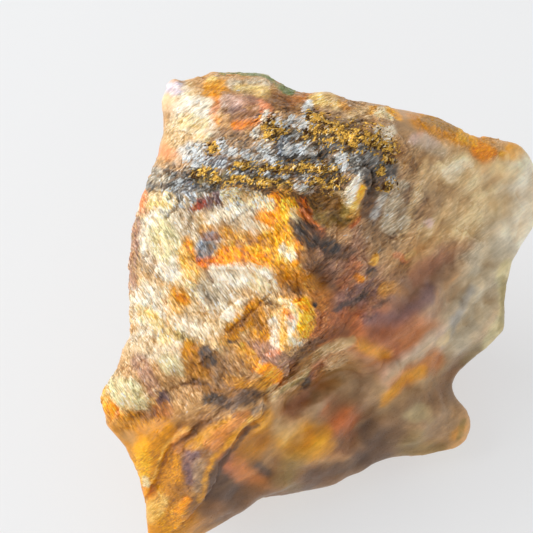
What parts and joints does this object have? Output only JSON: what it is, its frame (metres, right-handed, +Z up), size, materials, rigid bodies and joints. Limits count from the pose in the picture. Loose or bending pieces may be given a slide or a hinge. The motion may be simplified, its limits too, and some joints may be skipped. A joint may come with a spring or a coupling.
{
  "type": "gold-bearing quartz specimen",
  "caption": "Rough lump of iron-stained vein quartz with rows of native gold in a grey band on its sloping show face; rests on a small flat spot.",
  "frame": {"origin": "middle of the stone's footprint, on the plane that it rests on", "axes": "+Z up, +X to the right along the show face, -Y towards the viewer; the show face leans back and looks up towards -Y"},
  "size_m": [0.0462, 0.0406, 0.0399],
  "materials": {
    "stained_quartz": "rough broken vein quartz, cream to orange-brown with iron stain, with a grey band of spongy native gold"
  },
  "bodies": {
    "root": {"gold_quartz_stone": "stained_quartz"}
  },
  "joints": []
}
